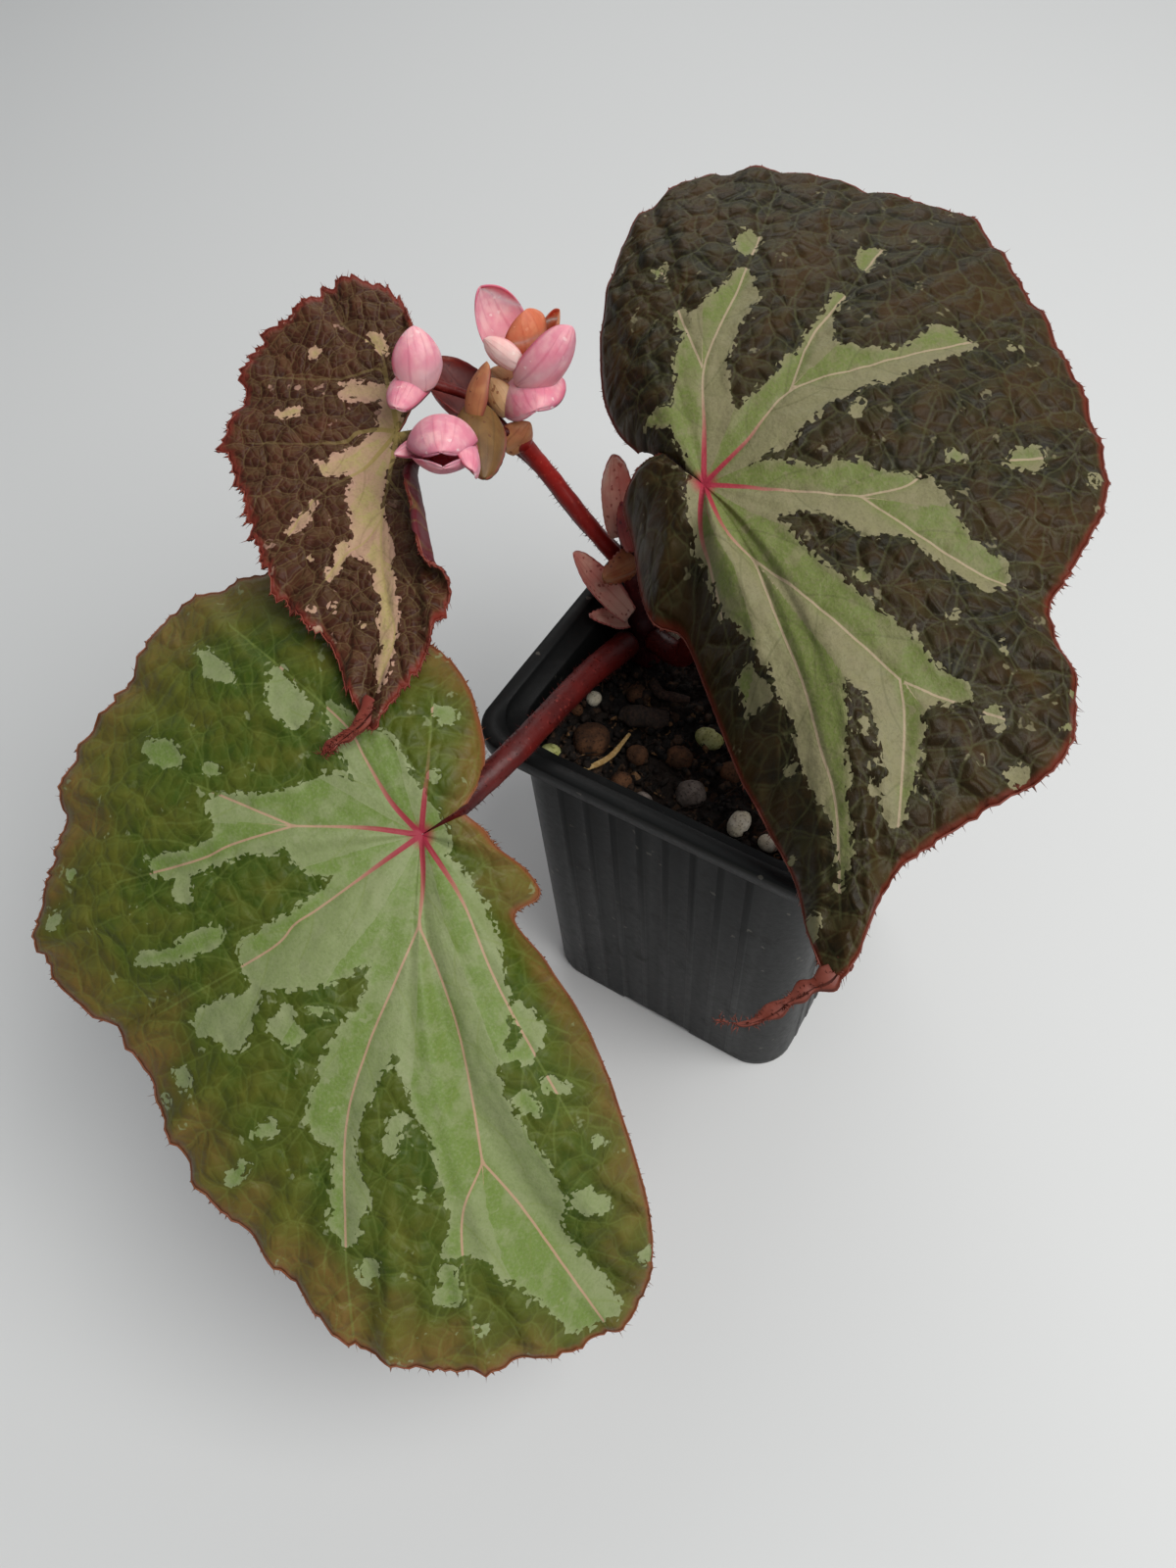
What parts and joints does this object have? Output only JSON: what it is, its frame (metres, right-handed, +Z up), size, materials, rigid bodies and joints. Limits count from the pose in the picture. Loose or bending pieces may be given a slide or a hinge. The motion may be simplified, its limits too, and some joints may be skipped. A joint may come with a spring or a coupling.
{
  "type": "potted begonia",
  "caption": "Potted begonia: lopsided patterned leaves on long red stalks and a head of pink flowers, in a square nursery pot of gritty potting mix.",
  "frame": {"origin": "middle of the pot's flat underside, on the surface it stands on", "axes": "+Z up out of the pot; the pot's sides lie along X and Y; -Y is the front, where the large left leaf hangs"},
  "size_m": [0.1351, 0.1811, 0.1316],
  "materials": {
    "pot": "black moulded plastic with a soft sheen",
    "potting_mix": "damp dark fibrous mix",
    "brown_stone": "dull fired clay grit",
    "grey_stone": "rough grey grit",
    "pale_stone": "chalky pumice",
    "green_stone": "smooth yellow-green pellet",
    "bark": "dry bark",
    "straw": "dry straw",
    "stem": "satin skin with fine hairs",
    "petiole": "satin skin with fine hairs",
    "stipule": "thin matte scale leaf",
    "petal": "soft velvety petal",
    "bract": "thin satin scale leaf",
    "leaf_green": "puckered satin leaf, green with pale arms along the veins",
    "leaf_dark": "puckered satin leaf, olive brown with pale arms along the veins",
    "leaf_brown": "puckered satin leaf, red brown with a pale middle"
  },
  "bodies": {
    "root": {"pot": "pot", "potting_mix": "potting_mix", "stone_01": "brown_stone", "stone_02": "pale_stone", "stone_03": "green_stone", "stone_04": "brown_stone", "stone_05": "green_stone", "stone_06": "brown_stone", "stone_07": "brown_stone", "stone_08": "brown_stone", "stone_09": "brown_stone", "stone_10": "grey_stone", "stone_11": "grey_stone", "stone_12": "pale_stone", "stone_13": "pale_stone", "stone_14": "brown_stone", "stone_15": "brown_stone", "stone_16": "brown_stone", "stone_17": "brown_stone", "stone_18": "grey_stone", "stone_19": "brown_stone", "stone_20": "pale_stone", "stone_21": "brown_stone", "stone_22": "grey_stone", "stone_23": "brown_stone", "stone_24": "pale_stone", "bark_chip": "bark", "twig": "bark", "straw": "straw", "stem": "stem", "petiole_left": "petiole", "petiole_right": "petiole", "petiole_small": "petiole", "peduncle": "petiole", "stipule_boat": "stipule", "stipule_low": "stipule", "stipule_collar": "stipule", "stipule_top": "stipule", "stipule_inner": "stipule", "flower_left": "petal", "flower_lower": "petal", "flower_open": "petal", "bract_back": "bract", "bract_rolled": "bract", "bract_front": "bract", "bract_small": "bract", "leaf_left": "leaf_green", "leaf_right": "leaf_dark", "leaf_small": "leaf_brown"}
  },
  "joints": []
}
